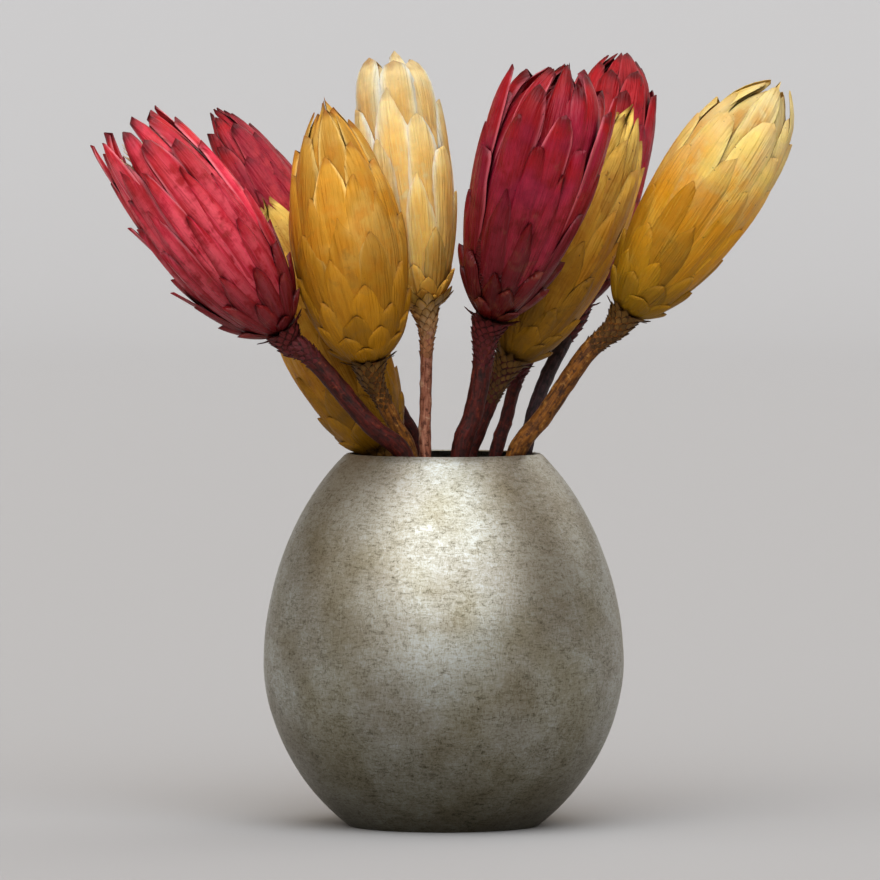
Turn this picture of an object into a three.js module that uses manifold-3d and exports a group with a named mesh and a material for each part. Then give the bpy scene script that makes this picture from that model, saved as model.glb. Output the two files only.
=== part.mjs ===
// A bouquet of dried sugarbush protea flowers standing in an egg-shaped metal vase.
// Millimetres, +Z up, the origin at the centre of the vase's foot. The front of the bouquet faces -Y.

import * as THREE from "three";
import { mergeVertices } from "three/addons/utils/BufferGeometryUtils.js";
import Module from "manifold-3d";

const wasm = await Module();
wasm.setup();

// Vase: two quarter superellipses, one below the belly and one above it.
const VASE_HEIGHT = 158;
const BELLY_HEIGHT = 70;
const BELLY_RADIUS = 76.7;
const FOOT_RADIUS = 40.3;
const MOUTH_RADIUS = 41.5;
const OUTLINE_POWER = 1.88; // 2 would be an ellipse, and the raised metal is a little fuller below
const WALL = 2;
const FLOOR = 3;
const VASE_SIDES = 40;

// Seat: what stands in the vase keeps this gap to it, and each head keeps it to its stem.
const SEAT_GAP = 0.3;

// Stems
const STEM_SIDES = 6;
const STEM_STEPS = 17;
const CONE_LENGTH = 17; // the scaly cone under each head, along the stem
const SCALE_RELIEF = 0.45;

// Heads
const GOLDEN_ANGLE = THREE.MathUtils.degToRad(137.508);
const COLLAR_SHARE = 0.31; // the head's radius at its collar, as a share of its largest
const BOWL_POWER = 1.9;
const CORE_SIDES = 9;
const CORE_STEPS = 5;
const CORE_DEPTH = 2; // how far the core lies under the head's outline
const CORE_REACH = 0.9; // how far up the head the core goes
const BRACT_ROWS = 3;
const BRACT_THICKNESS = 0.8;
const LOWEST_TIP = 0.14; // where along the head the lowest bract ends
const SHORTEST_EDGES = [0.12, 0.1, 0.14, 0.08, 0.16, 0.05]; // edges under the first that suits are closed up

const COLOURS = {
  red: 0xa81c34,
  darkRed: 0x7c1428,
  gold: 0xcf9436,
  cream: 0xe6bd6c,
  redBark: 0x5a2420,
  brownBark: 0x7a5530,
  pinkBark: 0x9a6350,
  metal: 0x8b8778,
};

// Each flower: thick is the stem's radius, foot is where the stem stands on the vase's floor, bends are points
// along it, collar is where the head starts and tip is the head's tip. radius is the head's largest half width,
// peak is where along it that lies, shoulder is near 1.4 for a pointed form and 2 for a round one, and crown is
// the share of the radius left at the tip. crowd is how the bract tips gather towards the top, splay is how far
// the top ones stand off, turn sets the bracts round, and tall are single bracts that stand out of the form, each
// with its angle round the head, its two ends along it, its half width and how far its tip stands off.
const FLOWERS = [
  {
    name: "red_left", colour: "red", bark: "redBark", thick: 4.2, foot: [4.5, -11.2],
    bends: [
      [-16.9, -26.9, 158.5], [-29, -29.8, 169.5], [-40, -30, 181.6], [-48.5, -28.5, 192],
      [-59, -26, 202.5],
    ],
    collar: [-68, -24.5, 210.5], tip: [-135.1, -34.5, 299.8],
    radius: 24.2, peak: 0.42, shoulder: 1.55, crown: 0.5,
    bracts: 20, crowd: 0.62, splay: 3.2, turn: 0.4,
    tall: [
      [-1.75, 0.6, 1.02, 4.4, 3.2], [-0.8, 0.58, 1, 5, 3.4], [2.2, 0.6, 1.01, 4.6, 3],
      [-1.57, 0.4, 0.66, 5, 2.4], [-1.5, 0.12, 0.37, 5, 3.4],
    ],
  },
  {
    name: "red_back_left", colour: "darkRed", bark: "redBark", thick: 3.1, foot: [-7.4, 1],
    bends: [[-9.5, 31, 157], [-17, 35.5, 172], [-27, 42, 190], [-35, 48, 206]],
    collar: [-41.5, 53, 219.5], tip: [-101.2, 73.4, 305.2],
    radius: 16, peak: 0.46, shoulder: 1.45, crown: 0.42,
    bracts: 17, crowd: 0.7, splay: 1.4, turn: 1.1,
    tall: [],
  },
  {
    name: "gold_low_left", colour: "gold", bark: "brownBark", thick: 3.6, foot: [-13.1, -4.6],
    bends: [[-12, 5, 120], [-20.5, 8, 146]],
    collar: [-25.5, 9.5, 158.5], tip: [-77.9, 30.3, 267.8],
    radius: 22.5, peak: 0.43, shoulder: 1.6, crown: 0.25,
    bracts: 22, crowd: 0.8, splay: 1.5, turn: 0.2,
    tall: [],
  },
  {
    name: "gold_front_left", colour: "gold", bark: "brownBark", thick: 3.7, foot: [-2.1, -5.1],
    bends: [[-14.2, -15.5, 158], [-20, -17.5, 170], [-26, -19.5, 182]],
    collar: [-31.5, -21.7, 197.4], tip: [-50.8, -30.4, 310.4],
    radius: 25.2, peak: 0.42, shoulder: 1.5, crown: 0.2,
    bracts: 25, crowd: 0.9, splay: 1.6, turn: 0,
    tall: [],
  },
  {
    name: "cream_centre", colour: "cream", bark: "pinkBark", thick: 2.8, foot: [5.2, -2.4],
    bends: [[-7.8, 6, 157], [-7.6, 8.5, 180], [-7.2, 10.5, 203]],
    collar: [-8, 12, 219.5], tip: [-23.9, 17.3, 329.9],
    radius: 20.4, peak: 0.52, shoulder: 2.3, crown: 0.5,
    bracts: 18, crowd: 0.66, splay: 1.5, turn: 2,
    tall: [],
  },
  {
    name: "red_front", colour: "red", bark: "redBark", thick: 4.4, foot: [13.1, 1.4],
    bends: [[7, -21, 158], [12.5, -19.5, 175.5], [16.3, -18, 195]],
    collar: [20.8, -18, 215.4], tip: [50.2, -34.5, 322.5],
    radius: 26.6, peak: 0.66, shoulder: 2.4, crown: 0.5,
    bracts: 21, crowd: 0.55, splay: 2, turn: 0.9,
    tall: [[-1.25, 0.42, 1, 6, 1.6], [1.3, 0.5, 0.94, 5.5, 1.4], [0.35, 0.6, 1.01, 6, 1]],
  },
  {
    name: "red_back_right", colour: "darkRed", bark: "redBark", thick: 3.3, foot: [-0.6, 15.9],
    bends: [[34.2, 9, 157], [39, 17, 177], [44.5, 27, 190.5], [51, 38, 203]],
    collar: [58, 51, 220.5], tip: [79.5, 79, 330],
    radius: 19.6, peak: 0.56, shoulder: 2.2, crown: 0.5,
    bracts: 17, crowd: 0.6, splay: 1, turn: 0.3,
    tall: [],
  },
  {
    name: "gold_right_behind", colour: "gold", bark: "brownBark", thick: 3.6, foot: [2.4, 7.7],
    bends: [[11, 4, 157], [15, 4.6, 168], [20.3, 5.6, 181]],
    collar: [28, 10, 197.5], tip: [81.8, 31.5, 307.1],
    radius: 22.6, peak: 0.42, shoulder: 1.7, crown: 0.25,
    bracts: 22, crowd: 0.75, splay: 1.8, turn: 0.7,
    tall: [],
  },
  {
    name: "gold_right", colour: "cream", bark: "brownBark", thick: 4.2, foot: [10.7, 10.9],
    bends: [[30.2, -13.3, 157.5], [42.5, -13.5, 174.5], [51.5, -12.8, 188], [62, -12, 202.5]],
    collar: [77, -11.5, 218], tip: [143.6, -16.3, 317.8],
    radius: 23.7, peak: 0.54, shoulder: 2.15, crown: 0.35,
    bracts: 20, crowd: 0.72, splay: 1.4, turn: 1.6,
    tall: [],
  },
  {
    name: "red_back", colour: "red", bark: "redBark", thick: 3.1, foot: [-9.2, 9.9],
    bends: [[22, 24.5, 156.5], [27, 31, 172], [31, 39.5, 188]],
    collar: [34, 48, 201], tip: [36.4, 113.6, 288.6],
    radius: 20, peak: 0.46, shoulder: 1.7, crown: 0.35,
    bracts: 19, crowd: 0.7, splay: 1.6, turn: 1.9,
    tall: [],
  },
];

// A closed three.js geometry as a solid for cutting and joining.
function solidOf(geometry) {
  const bare = geometry.index ? geometry.clone() : geometry;
  bare.deleteAttribute("normal");
  bare.deleteAttribute("uv");
  const merged = mergeVertices(bare, 1e-4);
  return new wasm.Manifold(
    new wasm.Mesh({
      numProp: 3,
      vertProperties: new Float32Array(merged.attributes.position.array),
      triVerts: new Uint32Array(merged.index.array),
    }),
  );
}

function geometryOf(solid) {
  const { vertProperties, triVerts } = solid.getMesh();
  return new THREE.BufferGeometry()
    .setAttribute("position", new THREE.BufferAttribute(new Float32Array(vertProperties), 3))
    .setIndex(new THREE.BufferAttribute(new Uint32Array(triVerts), 1));
}

// The vase's outer radius at a height.
function vaseRadius(z) {
  const below = z < BELLY_HEIGHT;
  const endRadius = below ? FOOT_RADIUS : MOUTH_RADIUS;
  const endDrop = below ? BELLY_HEIGHT : VASE_HEIGHT - BELLY_HEIGHT;
  const endShare = (1 - (endRadius / BELLY_RADIUS) ** OUTLINE_POWER) ** (1 / OUTLINE_POWER);
  const share = (Math.abs(z - BELLY_HEIGHT) / endDrop) * endShare;
  return BELLY_RADIUS * (1 - share ** OUTLINE_POWER) ** (1 / OUTLINE_POWER);
}

function vase() {
  const outer = [0, 6, 15, 27, 44, 62, 80, 100, 120, 138, 150, VASE_HEIGHT].map(
    (z) => new THREE.Vector2(vaseRadius(z), z),
  );
  const inner = [VASE_HEIGHT, 140, 115, 80, 45, 20, FLOOR].map((z) => {
    const slope = (vaseRadius(z + 1) - vaseRadius(z - 1)) / 2;
    const along = z === VASE_HEIGHT ? WALL : WALL * Math.hypot(1, slope);
    return new THREE.Vector2(vaseRadius(z) - along, z);
  });
  const profile = [new THREE.Vector2(0, 0), ...outer, ...inner, new THREE.Vector2(0, FLOOR)];
  return new THREE.LatheGeometry(profile, VASE_SIDES).rotateX(Math.PI / 2);
}

const vector = (numbers) => new THREE.Vector3(...numbers);

// The centre line of a stem, from the vase's floor to the collar, ending along the head's axis.
function stemCurve(flower) {
  const [x, y] = flower.foot;
  const collar = vector(flower.collar);
  const axis = vector(flower.tip).sub(collar).normalize();
  const base = FLOOR + SEAT_GAP;
  return new THREE.CatmullRomCurve3([
    new THREE.Vector3(x, y, base),
    new THREE.Vector3(x, y, base + 12),
    ...flower.bends.map(vector),
    collar.clone().addScaledVector(axis, -7),
    collar,
  ], false, "centripetal");
}

// Three axes for a section that looks along a direction: across, back and along. Back faces +Y where it can.
function sectionAxes(along) {
  const across = new THREE.Vector3().crossVectors(new THREE.Vector3(0, 1, 0), along).normalize();
  const back = new THREE.Vector3().crossVectors(along, across).normalize();
  return { across, back, along };
}

// The radius where a head meets its stem's cone.
const collarRadius = (flower) => flower.radius * COLLAR_SHARE;

// A stem is a cylinder bent along its centre line, which swells into a cone of small scales under the head.
function stem(flower) {
  const curve = stemCurve(flower);
  const length = curve.getLength();
  const coneShare = CONE_LENGTH / length;
  const plainSteps = STEM_STEPS - 7;
  const geometry = new THREE.CylinderGeometry(1, 1, 1, STEM_SIDES, STEM_STEPS);
  const place = geometry.attributes.position;
  for (let i = 0; i < place.count; i += 1) {
    const row = Math.round((place.getY(i) + 0.5) * STEM_STEPS);
    const inCone = Math.max(0, (row - plainSteps) / (STEM_STEPS - plainSteps));
    const share = row <= plainSteps ? (row / plainSteps) * (1 - coneShare) : 1 - coneShare * (1 - inCone);
    const centre = curve.getPointAt(share);
    const axes = sectionAxes(curve.getTangentAt(share));
    const reach = Math.hypot(place.getX(i), place.getZ(i));
    const angle = Math.atan2(place.getX(i), place.getZ(i));
    const side = Math.round((angle / (2 * Math.PI)) * STEM_SIDES);
    const relief = inCone > 0 && inCone < 1 ? SCALE_RELIEF * ((row + side) % 2 === 0 ? 1 : -1) : 0;
    const swell = (collarRadius(flower) - flower.thick) * inCone ** 1.6;
    const radius = reach < 0.5 ? 0 : flower.thick + swell + relief;
    centre.addScaledVector(axes.across, radius * Math.sin(angle));
    centre.addScaledVector(axes.back, -radius * Math.cos(angle));
    place.setXYZ(i, centre.x, centre.y, centre.z);
  }
  return geometryOf(solidOf(geometry));
}

// The head's outline: its radius at a share t of its length. A bowl swells from the collar to the peak, and
// a shoulder closes from there to the crown.
function headRadius(flower, t) {
  const rising = t < flower.peak;
  const share = rising ? 1 - t / flower.peak : (t - flower.peak) / (1 - flower.peak);
  const away = THREE.MathUtils.clamp(share, 0, 1);
  const power = rising ? BOWL_POWER : flower.shoulder;
  const end = rising ? COLLAR_SHARE : flower.crown;
  return flower.radius * (end + (1 - end) * (1 - away ** power) ** (1 / power));
}

function headFrame(flower) {
  const collar = vector(flower.collar);
  const along = vector(flower.tip).sub(collar);
  const length = along.length();
  return { collar, length, ...sectionAxes(along.normalize()) };
}

// A point of the head at an angle round it, 0 at the front and rising to the right, at a share t of its length
// and at a radius.
function headPoint(frame, angle, t, radius) {
  return frame.collar
    .clone()
    .addScaledVector(frame.along, frame.length * t)
    .addScaledVector(frame.across, radius * Math.sin(angle))
    .addScaledVector(frame.back, -radius * Math.cos(angle));
}

// The closed body that the bracts grow from.
function core(flower, frame) {
  const geometry = new THREE.CylinderGeometry(1, 1, 1, CORE_SIDES, CORE_STEPS);
  const place = geometry.attributes.position;
  const start = SEAT_GAP / frame.length;
  for (let i = 0; i < place.count; i += 1) {
    const hub = Math.hypot(place.getX(i), place.getZ(i)) < 0.5;
    const peakOfHub = hub && place.getY(i) > 0 ? 0.05 : 0;
    const t = start + (place.getY(i) + 0.5) * (CORE_REACH - start) + peakOfHub;
    const body = t < 0.05 ? collarRadius(flower) : headRadius(flower, t) - CORE_DEPTH;
    const angle = Math.atan2(place.getX(i), place.getZ(i));
    const point = headPoint(frame, angle, t, hub ? 0 : body);
    place.setXYZ(i, point.x, point.y, point.z);
  }
  return solidOf(geometry);
}

// How wide a bract is along its length, as a share of its largest width: an oval that ends in a point.
const bractWidth = (s) => (0.72 + 1.15 * s - 1.2 * s * s) * (1 - s ** 5);

// One bract: a three-sided cone flattened to a keeled blade and wrapped on the head's outline. from and to are
// shares of the head's length. It starts sunk in what lies under it and ends proud of the outline by lift, or
// leans in by a share.
function bract(flower, frame, { angle, from, to, halfWidth, lift, lean }) {
  const geometry = new THREE.ConeGeometry(1, 1, 3, BRACT_ROWS);
  const place = geometry.attributes.position;
  for (let i = 0; i < place.count; i += 1) {
    const row = place.getY(i) + 0.5;
    const s = row ** 0.85;
    const x = place.getX(i);
    const z = place.getZ(i);
    const reach = Math.hypot(x, z);
    const side = reach < 1e-6 ? 0 : Math.sign(Math.round(x / reach));
    const keel = reach < 1e-6 || side !== 0 ? 0 : BRACT_THICKNESS;
    const t = from + (to - from) * s;
    const sunk = 2 * (1 - s);
    const skin = Math.max(headRadius(flower, Math.min(t, 0.985)), 1.5);
    const edge = side === 0 ? 0 : 1.1;
    const radius = Math.max(0.5, skin * (1 - lean * s ** 3) - sunk + lift * s * s + keel - edge);
    const turn = (side * halfWidth * bractWidth(s)) / Math.max(skin, 3);
    const point = headPoint(frame, angle + turn, t, radius);
    place.setXYZ(i, point.x, point.y, point.z);
  }
  return solidOf(geometry);
}

// The spiral of bracts: each a golden angle round from the last and further up.
function bractList(flower) {
  const spiral = Array.from({ length: flower.bracts }, (_, i) => {
    const rise = i / (flower.bracts - 1);
    const to = LOWEST_TIP + (1 - LOWEST_TIP) * rise ** flower.crowd;
    const size = THREE.MathUtils.lerp(0.55, 1, Math.min(1, rise * 2.2));
    return {
      angle: flower.turn + i * GOLDEN_ANGLE,
      from: Math.max(0.02, to - THREE.MathUtils.lerp(0.12, 0.36, Math.min(1, rise * 1.6))),
      to,
      halfWidth: flower.radius * 0.5 * size,
      lift: 1 + flower.splay * 0.7 * rise,
      lean: 0.75 * Math.max(0, (rise - 0.7) / 0.3),
    };
  });
  const tall = flower.tall.map(([angle, from, to, halfWidth, lift]) => {
    return { angle, from, to, halfWidth, lift, lean: 0 };
  });
  return [...spiral, ...tall];
}

const largestBody = (solid) => solid.decompose().sort((a, b) => b.volume() - a.volume())[0];

// Whether two edges of a body lie on each other, as they can where blades cross and short edges are closed up.
function hasDoubledEdge(geometry) {
  const { array } = mergeVertices(geometry, 1e-3).index;
  const seen = new Set();
  for (let i = 0; i < array.length; i += 1) {
    const next = i % 3 === 2 ? i - 2 : i + 1;
    const edge = `${array[i]} ${array[next]}`;
    if (seen.has(edge)) return true;
    seen.add(edge);
  }
  return false;
}

// A head: its core and its bracts joined into one closed body, with any pocket between them filled.
function head(flower) {
  const frame = headFrame(flower);
  const blades = bractList(flower).map((one) => bract(flower, frame, one));
  const outside = largestBody(wasm.Manifold.union([core(flower, frame), ...blades])).asOriginal();
  const candidates = SHORTEST_EDGES.map((edge) => geometryOf(largestBody(outside.simplify(edge))));
  return candidates.find((geometry) => !hasDoubledEdge(geometry)) ?? candidates[0];
}

function piece(name, geometry, colour, roughness, metalness) {
  const material = new THREE.MeshStandardMaterial({ color: COLOURS[colour], roughness, metalness });
  const mesh = new THREE.Mesh(geometry, material);
  mesh.name = name;
  return mesh;
}

const bouquet = new THREE.Group();
bouquet.add(piece("vase", vase(), "metal", 0.45, 0.9));
for (const flower of FLOWERS) {
  bouquet.add(piece(`stem_${flower.name}`, stem(flower), flower.bark, 0.85, 0));
  bouquet.add(piece(`head_${flower.name}`, head(flower), flower.colour, 0.7, 0));
}

export default bouquet;
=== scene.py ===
"""A bouquet of dried sugarbush protea flowers in an egg-shaped metal vase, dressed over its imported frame."""

import logging
import math
import random
from bisect import bisect_right
from collections.abc import Callable, Mapping
from dataclasses import dataclass, field
from enum import Enum
from functools import partial

import bmesh
import bpy
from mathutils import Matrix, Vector, noise


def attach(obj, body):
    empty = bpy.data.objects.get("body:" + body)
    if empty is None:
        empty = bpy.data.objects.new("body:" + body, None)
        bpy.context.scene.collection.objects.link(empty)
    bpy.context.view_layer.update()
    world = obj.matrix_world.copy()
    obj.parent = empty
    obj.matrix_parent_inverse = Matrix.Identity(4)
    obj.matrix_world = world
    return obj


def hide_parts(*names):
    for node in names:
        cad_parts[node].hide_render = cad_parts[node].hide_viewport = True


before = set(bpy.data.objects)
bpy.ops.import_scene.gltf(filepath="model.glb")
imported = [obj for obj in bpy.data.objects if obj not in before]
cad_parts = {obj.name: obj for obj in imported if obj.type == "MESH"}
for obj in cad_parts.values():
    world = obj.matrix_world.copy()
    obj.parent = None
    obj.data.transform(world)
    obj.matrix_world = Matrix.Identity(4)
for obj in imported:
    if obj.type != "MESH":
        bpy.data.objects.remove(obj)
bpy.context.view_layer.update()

BODY = "root"
MM = 0.001
GOLDEN_ANGLE = math.radians(137.508)
LOG = logging.getLogger("bouquet")

Point = tuple[float, float, float]
Colour = tuple[float, float, float, float]
Piece = bpy.types.Object
Material = bpy.types.Material
Node = bpy.types.Node
Socket = bpy.types.NodeSocket
Adder = Callable[..., Node]


def linear(code: str) -> Colour:
    """Turns an sRGB hex colour to linear light.

    Args:
        code: six hex digits, such as "a81c34".

    Returns:
        Red, green, blue and alpha, linear.
    """
    parts = [int(code[i : i + 2], 16) / 255 for i in (0, 2, 4)]
    light = [c / 12.92 if c <= 0.04045 else ((c + 0.055) / 1.055) ** 2.4 for c in parts]
    return (light[0], light[1], light[2], 1.0)


def mix(a: float, b: float, share: float) -> float:
    """Blends from a to b, with the share held between 0 and 1."""
    return a + (b - a) * min(1.0, max(0.0, share))


def around(middle: Vector, axes: tuple[Vector, Vector], angle: float, radius: float) -> Vector:
    """A point round a centre line.

    Args:
        middle: the point of the centre line, in millimetres.
        axes: the axes across the line and to the back of it.
        angle: 0 at the front and rising to the right.
        radius: distance from the line, in millimetres.

    Returns:
        The point, in metres.
    """
    across, back = axes
    return (middle + across * (radius * math.sin(angle)) - back * (radius * math.cos(angle))) * MM


def add_node(
    tree: bpy.types.NodeTree,
    kind: str,
    inputs: Mapping[str | int, object] | None = None,
    **settings: object,
) -> Node:
    """Adds one node to a tree.

    Args:
        tree: the node tree of a material or of the sky.
        kind: the node's type name, without the word ShaderNode that they all start with.
        inputs: for each input, by name or number, the value to set or the socket to link. A node that is
            given stands for its first output.
        settings: the node's own settings.

    Returns:
        The new node.
    """
    node = tree.nodes.new("ShaderNode" + kind)
    for name, value in settings.items():
        setattr(node, name, value)
    for key, value in (inputs or {}).items():
        source = value.outputs[0] if isinstance(value, Node) else value
        if isinstance(source, Socket):
            tree.links.new(source, node.inputs[key])
        else:
            node.inputs[key].default_value = source
    return node


def empty_nodes(owner: Material | bpy.types.World) -> Adder:
    """Clears the nodes of a material or a sky, and returns the function that adds a node to them."""
    owner.use_nodes = True
    owner.node_tree.nodes.clear()
    return partial(add_node, owner.node_tree)


def set_ramp(node: Node, stops: list[tuple[float, str]]) -> None:
    """Sets the stops of a colour ramp.

    Args:
        node: the colour ramp.
        stops: position and hex colour of each stop, in order.
    """
    ramp = node.color_ramp
    while len(ramp.elements) < len(stops):
        ramp.elements.new(0.5)
    for element, (position, code) in zip(ramp.elements, stops):
        element.position = position
        element.color = linear(code)


def share_of(add: Adder, most: float | Node, *ranges: tuple[Node | Socket, float, float]) -> Node:
    """The share of a layer, which shows where each of its values is past a range.

    Args:
        add: adds a node.
        most: the largest share, or the node that gives it.
        ranges: each a value, where along it the layer starts and where it is whole.

    Returns:
        The node that gives the share.
    """
    for value, start, whole in ranges:
        bounds = {"Value": value, "From Min": start, "From Max": whole, "To Min": 0.0, "To Max": most}
        most = add("MapRange", bounds, interpolation_type="SMOOTHSTEP")
    return most


def lay_colours(add: Adder, colour: Node | Socket, layers: list[tuple], blend: str = "MIX") -> Socket:
    """Lays colours over one another.

    Args:
        add: adds a node.
        colour: the colour under them all.
        layers: for each, from the lowest up, its hex colour, its largest share and the ranges that it shows
            in.
        blend: how each goes with what lies under it.

    Returns:
        The colour that they make.
    """
    for code, most, *ranges in layers:
        inputs = {0: share_of(add, most, *ranges), 6: colour, 7: linear(code)}
        colour = add("Mix", inputs, data_type="RGBA", blend_type=blend).outputs[2]
    return colour


def deselect() -> None:
    """Deselects everything, in object mode."""
    if bpy.context.object and bpy.context.object.mode != "OBJECT":
        bpy.ops.object.mode_set(mode="OBJECT")
    bpy.ops.object.select_all(action="DESELECT")


def activate(piece: Piece) -> None:
    """Makes a piece the only selected object and the active one.

    Args:
        piece: the object.
    """
    deselect()
    piece.select_set(True)
    bpy.context.view_layer.objects.active = piece


def select_points(piece: Piece, wanted: Callable[[Vector], bool]) -> None:
    """Selects the points of a mesh in edit mode by their place.

    Args:
        piece: the object in edit mode.
        wanted: says whether the point at a place is selected.
    """
    shape = bmesh.from_edit_mesh(piece.data)
    bpy.ops.mesh.select_all(action="DESELECT")
    for point in shape.verts:
        point.select = wanted(point.co)
    shape.select_flush(True)
    bmesh.update_edit_mesh(piece.data)


def draw_out(rings: list[tuple[float, float]], unit: float, extrude: Callable[..., object]) -> None:
    """Draws the selected ring out through a row of others round the upright axis, in edit mode.

    Args:
        rings: radius and height of each ring, the selected one first.
        unit: the length that they are counted in, in metres.
        extrude: the operator that extrudes what is selected and moves it.
    """
    for (radius, z), (next_radius, next_z) in zip(rings, rings[1:]):
        extrude(TRANSFORM_OT_translate={"value": (0, 0, (next_z - z) * unit)})
        scale = next_radius / radius
        bpy.ops.transform.resize(value=(scale, scale, 1), center_override=(0, 0, next_z * unit))


def twin_of(template: Piece) -> Piece:
    """Copies a modelled template.

    Args:
        template: the object to copy.

    Returns:
        The copy, with a mesh of its own.
    """
    twin = template.copy()
    twin.data = template.data.copy()
    bpy.context.scene.collection.objects.link(twin)
    return twin


def discard(piece: Piece) -> None:
    """Removes a template once its copies are made."""
    bpy.data.objects.remove(piece, do_unlink=True)


def join(parts: list[Piece], name: str) -> Piece:
    """Joins parts into one named piece.

    Args:
        parts: the objects to join.
        name: the name of the joined piece.

    Returns:
        The joined piece.
    """
    activate(parts[0])
    for part in parts[1:]:
        part.select_set(True)
    bpy.ops.object.join()
    piece = bpy.context.view_layer.objects.active
    piece.name = name
    piece.data.name = name
    return piece


def set_points(
    piece: Piece,
    places: list[Vector],
    facts: list[Point] | None = None,
    grains: list[Point] | None = None,
    tone: float | None = None,
) -> None:
    """Moves the points of a mesh and stores what its material reads at each.

    Args:
        piece: the piece.
        places: the new places, in metres.
        facts: how far along the bract, towards its edge and up the head each point is, from 0 to 1.
        grains: the place of each point on the flat bract or along the bark, in millimetres.
        tone: how light the whole of it is, with 1 as plain.
    """
    mesh = piece.data
    mesh.vertices.foreach_set("co", [c for place in places for c in place])
    mesh.update()
    for name, values in (("place", facts), ("grain", grains)):
        if values:
            layer = mesh.attributes.new(name, "FLOAT_VECTOR", "POINT")
            layer.data.foreach_set("vector", [c for value in values for c in value])
    if tone is not None:
        layer = mesh.attributes.new("tone", "FLOAT", "POINT")
        layer.data.foreach_set("value", [tone] * len(places))


def dress(piece: Piece, material: Material, node: str | None = None, crisp: float = 40.0) -> None:
    """Gives a finished piece its material, its shading and its body, and hides the solid that it stands for.

    Args:
        piece: the finished piece.
        material: its material.
        node: the solid that it stands for, if it does.
        crisp: edges sharper than this many degrees stay crisp.
    """
    piece.data.materials.clear()
    piece.data.materials.append(material)
    activate(piece)
    bpy.ops.object.shade_smooth_by_angle(angle=math.radians(crisp))
    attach(piece, BODY)
    if node:
        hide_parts(node)
    LOG.info("%s: %d faces", piece.name, len(piece.data.polygons))


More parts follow.
